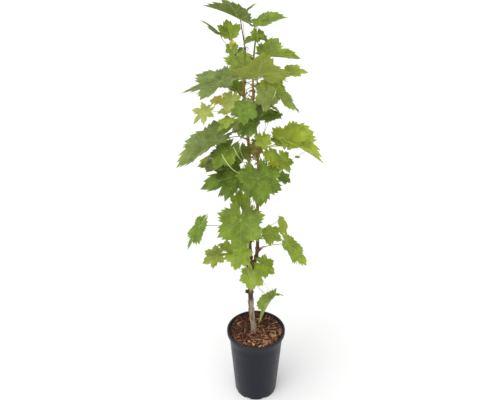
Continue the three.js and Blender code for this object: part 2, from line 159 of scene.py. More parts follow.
# Leaf tints as [upper side, upper side's second colour, underside], in hexadecimal sRGB.
TINTS = {
    "deep": ["46561f", "536524", "6c7a3c"],
    "dark": ["566c20", "667d28", "78894a"],
    "rich": ["627b1e", "6f8926", "7e9048"],
    "mid": ["6c8224", "798f2c", "8a964c"],
    "bright": ["83972a", "8fa334", "949f44"],
    # lime, pale and gold are partly the leaves' own yellow-green and partly painted light: they are
    # lightened to stand for light shining through the blades.
    "lime": ["98a92f", "a4b33a", "9ea942"],
    "pale": ["adb55a", "b8c068", "b0b668"],
    "gold": ["c8c050", "d0c85e", "bfb860"],
    # grey: its upper greens are greyed as a painted sheen off the waxy blades.
    "grey": ["697a39", "758647", "8d9a62"],
    "dusty": ["818e40", "8c9848", "929c58"],
    "olive": ["88923a", "929c42", "89923d"],
}
STALK_TINTS = {
    "green": ["8f9a52", "9ca660"],
    "pale": ["dadcaa", "c8cc90"],
    "pink": ["b39a84", "a9a27c"],
    "red": ["401c1c", "5c2c28"],
}


def leaf(at, tip, dip, roll, size, tint="mid", stalk="green", **shape):
    """One leaf: where the stalk meets the blade, the bearing and the dip of its tip, its roll
    about the midrib (left side up is positive) and its size from the stalk to the tip. Its
    stalk bows towards the two points in `by`, where they are given."""
    spec = {"fold": 8, "sag": 0.12, "deep": 0, "base": 1, "wide": 1}
    spec.update(at=at, tip=tip, dip=dip, roll=roll, size=size, tint=tint, stalk=stalk)
    spec.update(shape)
    return spec


# Each spray grows on a cane at a height and bearing: [cane, height, bearing, stem length,
# young leaves, leaves]. With no height its stem carries the cane on from its tip.
SPRAYS = {
    "top_left": ["left_cane", None, None, 9, 0, [
        leaf([-35, 0, 1011], 176, -28, 24, 76, "deep", "red", fold=22, base=0.68),
        leaf([-32, 12, 1014], 20, -44, -22, 40, "grey", base=0.3, wide=0.8),
    ]],
    "upper_left": ["left_cane", 915, 170, 15, 0, [
        leaf([-57, 0, 972], 105, -46, 0, 43, "bright", fold=36, base=0.3),
        leaf([-78, 2, 980], 178, -42, 8, 46, "grey", base=0.3, wide=0.6),
        leaf([-51, -10, 957], 100, -75, 0, 16, "gold", fold=35, wide=0.8),
        leaf([-52, -12, 955], -100, 60, 0, 20, "mid", fold=20),
        leaf([-34, -12, 949], 200, 25, 0, 17, "dark", fold=20),
    ]],
    "shoot_tip": ["right_cane", None, None, 14, 0, [
        leaf([-1, -40, 1009], 10, -20, 0, 59, "mid", fold=18, base=0.3),
        leaf([-7, -17, 977], 195, 18, 0, 27, "mid", base=0.5),
        leaf([2, -14, 981], -20, 22, 0, 24, "mid", base=0.5),
        leaf([-1, -22, 987], -88, 50, 0, 20, "bright"),
    ]],
    "upper_right": ["right_cane", 905, 0, 8, 0, [
        leaf([12, -10, 938], 12, 0, 5, 78, "bright", "pink", fold=20, base=0.35, deep=0.15),
    ]],
    "high_left": ["left_cane", 845, 190, 12, 0, [
        leaf([-76, -18, 886], 186, 13, -10, 86, "grey", fold=14, base=0.8, deep=0.15, wide=0.8),
        leaf([-14, 50, 890], 165, -22, -15, 62, "bright", base=0.7),
        leaf([-42, 20, 878], 200, 12, 0, 26, "mid", base=0.3),
    ]],
    "high_right": ["right_cane", 870, -30, 10, 0, [
        leaf([2, -30, 904], -80, -55, -8, 76, "olive", "pink",
             fold=-20, sag=0.05, base=0.3, wide=1.1),
        leaf([64, 8, 897], 3, -4, 6, 44, "lime", base=0.4),
    ]],
    "pale_left": ["left_cane", 800, 200, 20, 0, [
        leaf([-56, -24, 848], 240, 50, 0, 32, "pale", "pink"),
        leaf([-111, -25, 819], 200, 34, -20, 38, "pale", "pink", deep=0.35),
        leaf([-88, -20, 841], 50, -30, 0, 20, "gold", "pink"),
        leaf([-60, -56, 813], 205, 30, 0, 34, "bright", deep=0.2, base=0.7),
        leaf([-38, 26, 846], 130, -45, 0, 34, "bright", base=0.3),
        leaf([-60, -30, 826], 190, 10, 0, 28, "pale"),
    ]],
    "centre_high": ["left_cane", 790, -90, 14, 1, [
        leaf([-25, -60, 847], -105, 60, 0, 41, "rich", fold=16, base=0.7),
        leaf([-1, -32, 838], -80, 72, 0, 34, "deep", base=0.5, wide=0.5),
        leaf([-7, -46, 803], 205, 40, 0, 46, "dark", fold=15, base=0.6),
    ]],
    "right_hanging": ["right_cane", 820, -20, 16, 1, [
        leaf([27, -18, 881], -95, 75, 0, 40, "lime", base=0.6),
        leaf([34, -24, 880], -60, 60, 0, 34, "bright"),
        leaf([18, -42, 870], -92, 66, 0, 42, "dusty", "pale", base=0.8, wide=0.8),
        leaf([47, -25, 857], 0, 35, 0, 57, "bright", "pale", base=0.3),
        leaf([44, -12, 805], 184, 6, 0, 46, "mid", base=0.4),
    ]],
    "right_big": ["right_cane", 715, 0, 12, 0, [
        leaf([68, -20, 748], -2, 26, 4, 91, "lime", "pale", fold=33, base=0.5),
        leaf([66, -28, 744], 72, -44, 0, 56, "lime", "pale", base=0.4),
        leaf([50, -25, 746], 162, -28, 0, 36, "mid", base=0.3, wide=0.32),
    ]],
    "right_mid": ["right_cane", 665, -20, 14, 0, [
        leaf([12, -42, 764], -70, 50, 0, 26, "lime", "pale"),
        leaf([28, -32, 723], -60, 50, 0, 26, "lime", "pale"),
        leaf([56, -36, 712], -40, 50, 0, 36, "bright", "pink", deep=0.1),
        leaf([38, -22, 692], -60, 60, 0, 24, "gold", "pink"),
        leaf([57, -12, 655], -10, 25, 20, 24, "mid"),
        leaf([88, -20, 709], 20, 0, 0, 9, "lime", "pale"),
    ]],
    "left_big": ["left_cane", 740, 185, 14, 0, [
        leaf([-93, -25, 753], 193, 29, -20, 100, "grey", fold=36, base=1.05, wide=0.58),
    ]],
    "left_mid": ["left_cane", 702, 200, 12, 0, [
        leaf([-66, -40, 735], 225, 34, 0, 50, "mid", "pale"),
        leaf([-103, -35, 719], 195, 32, 70, 40, "lime", base=0.4, wide=0.3),
        leaf([-86, -40, 699], 180, -3, 0, 44, "grey"),
        leaf([-38, -14, 722], -95, 60, 0, 31, "mid"),
    ]],
    "left_low": ["left_cane", 620, 200, 12, 0, [
        leaf([-46, -52, 679], 197, 6, -20, 78, "dark", "pale", deep=0.24, base=0.7, wide=1.12),
        leaf([-54, -12, 662], 207, 50, 0, 62, "deep", base=0.5, wide=0.75),
    ]],
    "front_centre": ["right_cane", 640, -90, 14, 0, [
        leaf([1, -85, 690], -71, 56, -14, 58, "rich", "pale", fold=16, base=1.15, wide=1.19),
    ]],
    "front_low": ["left_cane", 540, -100, 14, 0, [
        leaf([-36, -80, 582], -94, 60, 0, 70, "mid", "pale", fold=14),
        leaf([-38, -40, 602], 100, -60, 0, 32, "bright"),
    ]],
    "far_left": ["left_cane", 500, 190, 10, 0, [
        leaf([-132, -30, 537], 212, 51, -6, 63, "rich", "pink", base=0.8, wide=0.5),
    ]],
    "right_low": ["right_cane", 500, -15, 10, 0, [
        leaf([24, -34, 520], -20, 20, 20, 40, "bright", base=0.6),
        leaf([58, 8, 527], -34, 62, 0, 48, "lime", "pink", base=0.4, wide=0.5),
    ]],
    "far_right": ["right_cane", 455, -60, 8, 0, [
        leaf([73, -36, 491], -20, 44, 8, 69, "bright", "pink", fold=12, base=0.6, wide=0.61),
    ]],
    "bottom_left": ["left_cane", 470, 190, 10, 0, [
        leaf([-95, -35, 456], 196, 24, -20, 40, "olive", deep=0.1),
        leaf([-66, -30, 473], 158, -14, 0, 30, "bright"),
        leaf([-41, -45, 470], -112, 44, 0, 43, "bright", wide=1.12),
    ]],
    "bottom_front": ["right_cane", 430, -70, 8, 0, [
        leaf([-10, -32, 400], -108, 66, 0, 44, "bright", "pink", base=0.85),
        leaf([15, -30, 424], -8, 34, 30, 38, "bright"),
    ]],
    "lowest": ["left_cane", 425, -130, 6, 0, [
        leaf([38, -35, 328], 190, 60, 6, 80, "mid", "pink", fold=30, base=0.55, wide=0.6,
             by=[[-38, -52, 440], [-5, -74, 385]]),
        leaf([40, -34, 340], 0, 2, 0, 28, "grey", base=0.2, wide=0.26),
    ]],
    "back_low": ["left_cane", 470, 100, 12, 1, [
        leaf([-25, 60, 500], 100, 50, 0, 58, "mid"),
        leaf([12, 55, 474], 50, 45, 0, 46, "bright"),
    ]],
    "back_middle": ["right_cane", 590, 90, 12, 0, [
        leaf([-15, 72, 620], 90, 48, 0, 64, "mid"),
        leaf([-62, 48, 642], 155, 40, 0, 52, "dark"),
        leaf([32, 52, 640], 40, 45, 0, 46, "bright"),
    ]],
    "back_upper": ["left_cane", 720, 100, 12, 1, [
        leaf([-30, 66, 758], 110, 45, 0, 60, "mid"),
        leaf([6, 54, 785], 60, 40, 0, 44, "dark"),
        leaf([-3, 34, 708], 90, 60, 0, 42, "deep", wide=0.6),
    ]],
    "back_high": ["right_cane", 810, 80, 12, 1, [
        leaf([24, 60, 836], 60, 40, 0, 54, "bright"),
        leaf([-50, 45, 820], 150, 35, 0, 40, "mid"),
    ]],
    "back_top": ["left_cane", 860, 95, 10, 1, [
        leaf([25, 64, 869], 48, 30, 0, 50, "mid"),
    ]],
}


# ---------------- materials
def colour(code):
    """A hexadecimal sRGB colour as linear numbers."""
    parts = [int(code[i:i + 2], 16) / 255 for i in (0, 2, 4)]
    return [((c + 0.055) / 1.055) ** 2.4 if c > 0.04045 else c / 12.92 for c in parts] + [1]


class Finish:
    """A Principled material that is built up node by node."""

    def __init__(self, name, roughness, specular):
        self.material = bpy.data.materials.new(name)
        self.material.use_nodes = True
        self.tree = self.material.node_tree
        self.shader = self.tree.nodes["Principled BSDF"]
        self.feed(self.shader, {"Roughness": roughness, "Specular IOR Level": specular})
        self.place = self.node("TexCoord", {}).outputs["Object"]

    def feed(self, node, inputs):
        """Give a node's inputs their values, or link them to other nodes' outputs."""
        for key, value in inputs.items():
            if isinstance(value, bpy.types.NodeSocket):
                self.tree.links.new(value, node.inputs[key])
            else:
                node.inputs[key].default_value = value

    def node(self, kind, inputs, **settings):
        node = self.tree.nodes.new("ShaderNode" + kind)
        for key, value in settings.items():
            setattr(node, key, value)
        self.feed(node, inputs)
        return node

    def stretched(self, *scale):
        return self.node("Mapping", {"Vector": self.place, "Scale": scale}).outputs["Vector"]

    def grain(self, scale, detail, rough=0.55, place=None):
        return self.node("TexNoise", {
            "Vector": place or self.place, "Scale": scale, "Detail": detail, "Roughness": rough,
        }).outputs["Fac"]

    def cells(self, scale):
        inputs = {"Vector": self.place, "Scale": scale}
        return self.node("TexVoronoi", inputs, feature="DISTANCE_TO_EDGE").outputs["Distance"]

    def ramp(self, value, stops):
        node = self.node("ValToRGB", {"Fac": value})
        elements = node.color_ramp.elements
        while len(elements) < len(stops):
            elements.new(0.5)
        for element, (position, code) in zip(elements, stops):
            element.position = position
            element.color = colour(code)
        return node.outputs["Color"]

    def mix(self, share, first, second):
        inputs = {"Factor": share, "A": first, "B": second}
        return self.node("Mix", inputs, data_type="RGBA").outputs["Result"]

    def spread(self, value, low, high, to_low, to_high):
        return self.node("MapRange", {
            "Value": value, "From Min": low, "From Max": high, "To Min": to_low, "To Max": to_high,
        }).outputs["Result"]

    def along(self, axis):
        return self.node("SeparateXYZ", {"Vector": self.place}).outputs[axis]

    def base(self, socket):
        self.feed(self.shader, {"Base Color": socket})

    def rough(self, value, *limits):
        self.feed(self.shader, {"Roughness": self.spread(value, *limits)})

    def bump(self, value, strength, distance):
        inputs = {"Height": value, "Strength": strength, "Distance": distance}
        self.feed(self.shader, {"Normal": self.node("Bump", inputs).outputs["Normal"]})


def leaf_finish(name, main, second, roughness, specular, relief):
    """Soft mottling between close greens, a crinkled skin and slightly uneven gloss."""
    dark, light = [
        "".join("%02x" % round(int(code[i:i + 2], 16) * share) for i in (0, 2, 4))
        for code, share in ((main, 0.84), (second, 1.08))
    ]
    finish = Finish(name, roughness, specular)
    finish.feed(finish.shader, {
        "Subsurface Weight": 0.5, "Subsurface Radius": (1.0, 1.0, 0.35), "Subsurface Scale": 0.0015,
    })
    patches = finish.grain(46, 4, 0.6)
    finish.base(finish.ramp(patches, [(0.32, dark), (0.46, main), (0.58, second), (0.7, light)]))
    finish.rough(finish.grain(90, 2), 0.3, 0.7, roughness - 0.06, roughness + 0.08)
    finish.bump(finish.cells(420), relief, 0.0004)
    return finish.material


def stalk_finish(name, main, second):
    finish = Finish(name, 0.45, 0.4)
    finish.base(finish.ramp(finish.grain(60, 3), [(0.38, main), (0.62, second)]))
    finish.bump(finish.grain(900, 2, place=finish.stretched(1, 1, 0.1)), 0.2, 0.0002)
    return finish.material


def pot_finish():
    """Smooth dark slate plastic with faint scuffs, dust near its foot and a lip greyed towards its
    top as a painted highlight.
    """
    finish = Finish("pot_plastic", 0.36, 0.24)
    scuffs = finish.grain(26, 6, 0.7, finish.stretched(1, 1, 2.6))
    tone = finish.ramp(scuffs, [(0.45, "0b0f1c"), (0.62, "0f1422"), (0.78, "1a2030")])
    specks = finish.spread(finish.grain(420, 2), 0.66, 0.74, 0, 0.35)
    height = finish.along("Z")
    dust = finish.spread(height, 0.0, 0.05, 0.08, 0.0)
    # Painted highlight: the lip is greyed towards its top to stand for light reflected off it.
    lip_highlight = finish.spread(height, (POT_HEIGHT - LIP_HEIGHT) * MM, (POT_HEIGHT - 4) * MM, 0, 1)
    tone = finish.mix(lip_highlight, tone, colour("25272c"))
    tone = finish.mix(specks, tone, colour("2c3038"))
    finish.base(finish.mix(dust, tone, colour("34322f")))
    finish.rough(finish.grain(60, 5), 0.3, 0.7, 0.32, 0.42)
    finish.bump(finish.grain(700, 3), 0.12, 0.0003)
    return finish.material


def soil_finish():
    finish = Finish("soil_crumb", 0.95, 0.15)
    crumbs = finish.grain(320, 5)
    finish.base(finish.ramp(crumbs, [(0.35, "1d130e"), (0.55, "38241a"), (0.72, "553626")]))
    finish.bump(finish.grain(520, 5), 0.9, 0.0015)
    return finish.material


def chip_finish(name, dark, light):
    finish = Finish(name, 0.85, 0.25)
    fibre = finish.grain(260, 4, 0.6, finish.stretched(1, 2.6, 1.4))
    finish.base(finish.ramp(fibre, [(0.35, dark), (0.66, light)]))
    finish.bump(fibre, 0.6, 0.0006)
    return finish.material


# Darkness of the trunk between two heights in metres: a stained ring by the old pruning wound,
# and the black knot where the canes fork.
STAINED = (0.285, 0.42)
STAINS = [(0.0, "000000"), (0.06, "606060"), (0.16, "c0c0c0"), (0.26, "c8c8c8"),
          (0.33, "202020"), (0.64, "303030"), (0.82, "e0e0e0")]


def bark_finish():
    """Grey-tan fibrous bark, stained, darker at wound and knot, and with painted shade on its left
    side.
    """
    finish = Finish("trunk_bark", 0.88, 0.2)
    fibre = finish.grain(420, 6, 0.65, finish.stretched(1, 1, 0.09))
    tone = finish.ramp(fibre, [(0.3, "6c5848"), (0.47, "a08f7a"), (0.62, "b8aa94"), (0.8, "d0c4ae")])
    stain = finish.grain(55, 4, 0.6, finish.stretched(1, 1, 0.45))
    tone = finish.mix(finish.spread(stain, 0.52, 0.66, 0, 0.75), tone, colour("4a3526"))
    # Painted shade: the trunk is darkened towards its left side.
    shade = finish.spread(finish.along("X"), -0.0145, -0.0195, 0, 0.85)
    tone = finish.mix(shade, tone, colour("3d2a20"))
    ring = finish.ramp(finish.spread(finish.along("Z"), *STAINED, 0, 1), STAINS)
    tone = finish.mix(ring, tone, colour("33251c"))
    finish.base(tone)
    finish.bump(fibre, 0.8, 0.0012)
    return finish.material


def cane_finish():
    """Ripe red-brown wood below, orange-brown above and green at the growing tips."""
    finish = Finish("cane_bark", 0.62, 0.35)
    streaks = finish.grain(700, 4, 0.6, finish.stretched(1, 1, 0.06))
    ripe = finish.ramp(streaks, [(0.32, "38241a"), (0.52, "62402b"), (0.72, "8a6141")])
    young = finish.ramp(streaks, [(0.3, "80602c"), (0.55, "ab8a42"), (0.75, "c4aa60")])
    tip = finish.ramp(streaks, [(0.3, "77893f"), (0.7, "9aa35a")])
    height = finish.along("Z")
    tone = finish.mix(finish.spread(height, 0.52, 0.76, 0, 1), ripe, young)
    finish.base(finish.mix(finish.spread(height, 0.86, 0.95, 0, 1), tone, tip))
    finish.bump(streaks, 0.7, 0.0006)
    return finish.material


def floor_finish():
    finish = Finish("floor_paper", 0.9, 0.1)
    finish.base(finish.ramp(finish.grain(2, 2), [(0.3, "fbfbfb"), (0.7, "fdfdfd")]))
    return finish.material


# ---------------- meshes
class Kind:
    """Points and faces of one kind of thing, gathered to be joined into one piece."""

    def __init__(self):
        self.points = []
        self.faces = []
        self.paints = []
        self.count = 0

    def add(self, points, faces, paint=0):
        self.points.append(np.asarray(points, float))
        self.faces += [[v + self.count for v in face] for face in faces]
        self.paints += paint if isinstance(paint, list) else [paint] * len(faces)
        self.count += len(points)


def add_object(name, data):
    thing = bpy.data.objects.new(name, data)
    bpy.context.scene.collection.objects.link(thing)
    return thing


def make_piece(name, kind, materials, nodes=()):
    """One mesh object that rides on the body and stands for the named CAD nodes."""
    mesh = bpy.data.meshes.new(name)
    mesh.from_pydata((np.vstack(kind.points) * MM).tolist(), [], kind.faces)
    for material in materials:
        mesh.materials.append(material)
    mesh.polygons.foreach_set("material_index", kind.paints)
    mesh.shade_smooth()
    mesh.set_sharp_from_angle(angle=SHARP_EDGE)
    piece = add_object(name, mesh)
    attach(piece, "root")
    if nodes:
        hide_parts(*nodes)
    return piece


def unit(vectors):
    return vectors / np.maximum(np.linalg.norm(vectors, axis=-1, keepdims=True), 1e-9)


def level(turn):
    """The level direction at an angle from +X, in radians."""
    return np.array([math.cos(turn), math.sin(turn), 0.0])


# Corners of a square section, in order round it.
SQUARE = [(-1, -1), (1, -1), (1, 1), (-1, 1)]


def strips(rings, sides):
    """Faces between neighbouring rings of points."""
    faces = []
    for i in range(rings - 1):
        near, far = i * sides, (i + 1) * sides
        for j in range(sides):
            k = (j + 1) % sides
            faces.append([near + j, near + k, far + k, far + j])
    return faces


def pointed(rings, sides):
    """Faces of a tube of rings that closes on two end points, which follow the rings."""
    faces = strips(rings, sides)
    foot, last = rings * sides, (rings - 1) * sides
    for j in range(sides):
        k = (j + 1) % sides
        faces += [[foot, k, j], [foot + 1, last + j, last + k]]
    return faces


def bar(rings):
    """Faces of a four-sided bar with flat ends."""
    last = 4 * (rings - 1)
    return strips(rings, 4) + [[3, 2, 1, 0], [last, last + 1, last + 2, last + 3]]


def swept(points, radii, sides):
    """A closed tube along points. The radii are one for each point, or one for each point and
    side. Returns its points and faces."""
    points = np.asarray(points, float)
    radii = np.asarray(radii, float)
    if radii.ndim == 1:
        radii = np.repeat(radii[:, None], sides, axis=1)
    ahead = unit(np.gradient(points, axis=0))
    side = np.cross(ahead[0], TUBE_ASIDE)
    turn = np.linspace(0, 2 * math.pi, sides, endpoint=False)
    rings = []
    for point, heading, radius in zip(points, ahead, radii):
        side = unit(side - heading * side.dot(heading))
        over = np.cross(heading, side)
        ring = np.outer(np.cos(turn), side) + np.outer(np.sin(turn), over)
        rings.append(point + ring * radius[:, None])
    return np.vstack(rings + [points[:1], points[-1:]]), pointed(len(points), sides)


def tapered(points, first, last, sides):
    """A closed tube with a radius that runs evenly from one end to the other."""
    return swept(points, np.linspace(first, last, len(points)), sides)


def smooth_route(route, count):
    """Points and radii along a limb: a centripetal Catmull-Rom curve through its stations."""
    stations = np.array(route, float)
    known = stations[:, :3]
    place = np.vstack([2 * known[0] - known[1], known, 2 * known[-1] - known[-2]])
    along = np.linspace(0, len(route) - 1, count)
    i = np.minimum(along.astype(int), len(route) - 2)
    w = (along - i)[:, None]
    a, b, c, d = place[i], place[i + 1], place[i + 2], place[i + 3]
    before, step, after = [
        np.linalg.norm(q - p, axis=1)[:, None] ** 0.5 for p, q in ((a, b), (b, c), (c, d))
    ]
    leave = ((b - a) / before - (c - a) / (before + step) + (c - b) / step) * step
    arrive = ((c - b) / step - (d - b) / (step + after) + (d - c) / after) * step
    points = b + leave * w + (3 * (c - b) - 2 * leave - arrive) * w ** 2
    points += (2 * (b - c) + leave + arrive) * w ** 3
    radii = stations[i, 3] + (stations[i + 1, 3] - stations[i, 3]) * w[:, 0]
    return points, radii


def evenly(points, radii, spacing):
    """The same curve with its points a set distance apart."""
    run = np.concatenate([[0], np.cumsum(np.linalg.norm(np.diff(points, axis=0), axis=1))])
    places = np.linspace(0, run[-1], max(3, int(run[-1] / spacing) + 1))
    return (
        np.stack([np.interp(places, run, points[:, k]) for k in range(3)], axis=1),
        np.interp(places, run, radii),
    )


def bezier(controls, count):
    """Points along a Bezier curve of any degree."""
    u = np.linspace(0, 1, count)[:, None]
    degree = len(controls) - 1
    return sum(
        math.comb(degree, k) * u ** k * (1 - u) ** (degree - k) * np.asarray(control, float)
        for k, control in enumerate(controls)
    )


def seeded(seed):
    """Repeatable numbers from 0 to 1."""
    state = (seed * 2654435761) % 2 ** 32
    while True:
        state = (state * 1664525 + 1013904223) % 2 ** 32
        yield state / 2 ** 32


# ---------------- leaf blades
def reach(angle, deep, base):
    """How far the blade reaches at an angle from the midrib, as a share of its size."""
    turn = abs(angle)
    k = max(i for i, (lobe, _) in enumerate(LOBES) if lobe <= turn + 1e-6)
    lobe, far = LOBES[k]
    hollow, bottom = HOLLOWS[k]
    near = bottom * (1 - deep if hollow < 180 else 1)
    t = min(max((turn - 60) / 70, 0), 1)
    rear = 1 + (base - 1) * t * t * (3 - 2 * t)
    if turn <= hollow:
        return rear * (far + (near - far) * ((turn - lobe) / (hollow - lobe)) ** 1.2)
    after, after_far = LOBES[k + 1]
    return rear * (near + (after_far - near) * ((turn - hollow) / (after - hollow)) ** 0.83)


def toothed_half(teeth, rng):
    """Angles of one side's outline from the tip to the stalk, and how far each stands out.
    The teeth point towards the lobe tip that they are next to."""
    stops = [0]
    for (lobe, _), (hollow, _) in zip(LOBES, HOLLOWS):
        stops += [hollow, lobe]
    stops = sorted(set(stops))
    outline = []
    for start, end in zip(stops, stops[1:]):
        falling = any(start == lobe for lobe, _ in LOBES)
        pattern = TOOTH_FALLING if falling else TOOTH_RISING
        for tooth in range(teeth):
            scale = 0.65 + 0.7 * rng.random()
            for at, height in pattern:
                share = (tooth + at) / teeth
                outline.append((start + (end - start) * share, height * scale))
    outline.sort()
    kept = [outline[0]]
    for angle, height in outline[1:]:
        if angle - kept[-1][0] > 0.4:
            kept.append((angle, height))
        elif height > kept[-1][1]:
            kept[-1] = (angle, height)
    if kept[-1][0] < 179.5:
        kept.append((180, -0.3))
    return kept


class Blade:
    """The curved surface of one leaf: folded along the midrib, sagging to its edge, quilted
    between the side veins and waved round its margin."""

    def __init__(self, spec, seed):
        self.spec = spec
        self.rng = np.random.default_rng(seed)
        a, d, r = [math.radians(spec[key]) for key in ("tip", "dip", "roll")]
        self.along = np.array([math.cos(a) * math.cos(d), math.sin(a) * math.cos(d), -math.sin(d)])
        aside = np.array([-math.sin(a), math.cos(a), 0])
        up = np.cross(self.along, aside)
        self.left = aside * math.cos(r) + up * math.sin(r)
        self.out = up * math.cos(r) - aside * math.sin(r)
        self.phases = self.rng.random(3) * 2 * math.pi
        steps = np.arange(-180, 181)
        self.table = steps, np.array([reach(t, spec["deep"], spec["base"]) for t in steps])

    def edge(self, angle):
        return np.interp(angle, *self.table)

    def at(self, angle, share, lift=0.0, stand=0.0):
        """Points at angles and at shares of the way to the edge; stand moves the edge out."""
        angle, share = np.broadcast_arrays(np.asarray(angle, float), np.asarray(share, float))
        spec, size, turn = self.spec, self.spec["size"], np.radians(angle)
        span = self.edge(angle) * share + stand
        forward, aside = span * np.cos(turn), span * np.sin(turn) * spec["wide"]
        fold = math.radians(spec["fold"])
        rise = (np.sqrt(aside ** 2 + 0.0009) - 0.03) * math.sin(fold) - spec["sag"] * span ** 2
        swell = np.sin(turn * 3 + self.phases[2]) * SWELL * share ** 2
        wave = np.sin(turn * 5 + self.phases[0]) * BROAD_WAVE
        wave = wave + np.sin(turn * 9 + self.phases[1]) * FINE_WAVE
        rise = rise + swell + wave * share ** 3
        apart = np.min([np.abs((angle - vein + 180) % 360 - 180) for vein in MAIN_VEINS], axis=0)
        apart = np.radians(np.minimum(apart, 90))
        off, ahead = span * np.sin(apart), span * np.cos(apart)
        quilt = np.abs(np.sin(math.pi * (ahead - 0.8 * off) / QUILT_PITCH))
        rise = rise + (quilt - 0.6) * QUILT * np.minimum(off / 0.06, 1) * (1 - share ** 4)
        rise = rise - VEIN_GROOVE * np.exp(-((off / 0.035) ** 2)) * (1 - share ** 2)
        point = np.array(spec["at"], float) + self.along * (forward * size)[..., None]
        point = point + self.left * (aside * math.cos(fold) * size)[..., None]
        return point + self.out * (rise * size + lift)[..., None]

    def mesh(self):
        """Closed blade: upper side, underside and the thin edge between them."""
        spec = self.spec
        large = spec["size"] > SMALL_LEAF
        halves = [toothed_half(3 if large else 2, self.rng) for _ in range(2)]
        outline = halves[0] + [(-a, h) for a, h in reversed(halves[1]) if 0 < a < 180]
        angle = np.array([a for a, _ in outline])
        tooth = np.array([h for _, h in outline]) * TOOTH * (1 if large else 1.3)
        tooth = tooth * np.clip(self.edge(angle) * 1.6, 0.2, 1)
        rings = RINGS if large else RINGS[1::2]
        count = len(angle)
        verts = []
        for lift in (LEAF_THICKNESS / 2, -LEAF_THICKNESS / 2):
            verts.append(self.at(0.0, 0.0, lift).reshape(1, 3))
            for share in rings:
                thin = lift * (1 - 0.5 * share ** 6)
                verts.append(self.at(angle, share, thin, tooth * share ** 7))
        side = 1 + len(rings) * count
        faces, paints = [], []
        for i in range(count):
            j = (i + 1) % count
            faces += [[0, 1 + i, 1 + j], [side, side + 1 + j, side + 1 + i]]
            paints += [0, 1]
            for ring in range(1, len(rings)):
                near, far = 1 + (ring - 1) * count, 1 + ring * count
                faces.append([near + i, far + i, far + j, near + j])
                faces.append([side + near + i, side + near + j, side + far + j, side + far + i])
                paints += [0, 1]
            edge = 1 + (len(rings) - 1) * count
            faces.append([edge + i, side + edge + i, side + edge + j, edge + j])
            paints.append(1)
        return np.vstack(verts), faces, paints

    def rib(self, angle, share, widths):
        """A raised vein through the blade along points of its surface, four-sided."""
        centre = self.at(angle, share)
        aside = self.at(angle + 0.5, share) - self.at(angle - 0.5, share)
        ahead = unit(np.gradient(centre, axis=0))
        aside = unit(aside - ahead * np.sum(aside * ahead, axis=1)[:, None])
        out = np.cross(ahead, aside)
        out = out * np.sign(out @ self.out)[:, None]
        half = np.asarray(widths)[:, None] / 2
        proud = LEAF_THICKNESS / 2 + half * 0.45
        rows = np.stack([centre + aside * half, centre + out * proud, centre - aside * half,
                         centre - out * proud * 1.3], axis=1)
        return rows.reshape(-1, 3), bar(len(centre))

    def veins(self):
        """Main veins from the stalk to each lobe tip, and side veins off both their sides."""
        size = self.spec["size"]
        thick = 0.65 + size * 0.0125
        large = size > SMALL_LEAF
        found = []
        for vein in MAIN_VEINS:
            length = float(self.edge(vein))
            share = np.linspace(0.02, 0.94, 10)
            weight = thick * (1 if vein == 0 else 0.85) * (1 - 0.75 * share)
            found.append(self.rib(np.full(10, float(vein)), share, weight))
            start, turned = math.radians(vein), 46
            for k, place in enumerate(SIDE_VEINS if large else SIDE_VEINS_SMALL):
                for hand in (-1, 1):
                    heading = start + hand * math.radians(turned - 3 * k)
                    begin = place * length + (0.03 if hand > 0 else 0)
                    far = np.linspace(0, 0.34 * length, 12)
                    x = begin * math.cos(start) + far * math.cos(heading)
                    y = begin * math.sin(start) + far * math.sin(heading)
                    angle = np.degrees(np.arctan2(y, x))
                    angle = vein + (angle - vein + 180) % 360 - 180
                    share = np.hypot(x, y) / self.edge((angle + 180) % 360 - 180)
                    inside = (share < 0.93) & (np.abs(angle - vein) < 25) & (np.abs(angle) < 178)
                    stop = len(far) if inside.all() else int(np.argmin(inside))
                    if stop > 3:
                        weight = thick * 0.45 * (1 - 0.7 * np.linspace(0, 1, stop))
                        found.append(self.rib(angle[:stop], share[:stop], weight))
        return found


# ---------------- sprays
def stalk_tube(fork, blade):
    """The stalk curves from the spray's fork to the blade, thick at its foot."""
    spec = blade.spec
    foot, head = np.array(fork, float), np.array(spec["at"], float)
    span = np.linalg.norm(head - foot)
    rising = foot + (head - foot) * 0.35 + [0, 0, 0.06 * span]
    bowed = head + (foot - head) * 0.2 - blade.out * 0.08 * span - blade.along * 0.04 * span
    controls = [foot, *spec.get("by", [rising, bowed]), head]
    points = bezier(controls, max(8, int(span / 4)))
    u = np.linspace(0, 1, len(points))
    thick = STALK_RADIUS * min(max(spec["size"] / 60, 0.6), 1.1)
    thick *= 1.3 if spec["stalk"] == "red" else 1
    swollen = 0.7 * np.exp(-((u / 0.05) ** 2)) + 0.3 * np.exp(-(((1 - u) / 0.04) ** 2))
    return swept(points, thick * (1.15 - 0.35 * u + swollen), STALK_SIDES)


def young_leaves(fork, bearing, count, draw, tint):
    """Small young leaves round a stem's fork, turned at random to its outer side."""
    found = []
    for _ in range(count):
        turn = bearing + (next(draw) - 0.5) * YOUNG_SPREAD
        distance = YOUNG_DISTANCE * (0.6 + 0.6 * next(draw))
        lift = distance * (0.9 * next(draw) - 0.1)
        at = fork + level(math.radians(turn)) * distance + [0, 0, lift]
        dip = 10 + 40 * next(draw)
        size = YOUNG_SIZE * (0.7 + 0.6 * next(draw))
        found.append(leaf(at, turn, dip, 0, size, tint))
    return found


def cane_at(cane, height=None):
    """A cane's centre, radius and heading at a height, or at its tip."""
    points, radii = smooth_route(CANE_ROUTES[cane], CANE_SAMPLES)
    k = CANE_SAMPLES - 1 if height is None else int(np.argmax(points[:, 2] >= height))
    return points[k], radii[k], unit(points[k] - points[k - 1])


def stem_frame(cane, height, bearing, length):
    """Foot, middle and fork of a spray's stem on its cane, with the cane's radius there."""
    point, radius, away = cane_at(cane, height)
    gap = CLEARANCE
    if bearing is not None:
        away = level(math.radians(bearing))
        gap += radius
    foot = point + away * gap
    fork = foot + away * length * 0.8 + [0, 0, length * 0.6]
    return foot - away * 1.2, foot + away * length * 0.5, fork, radius


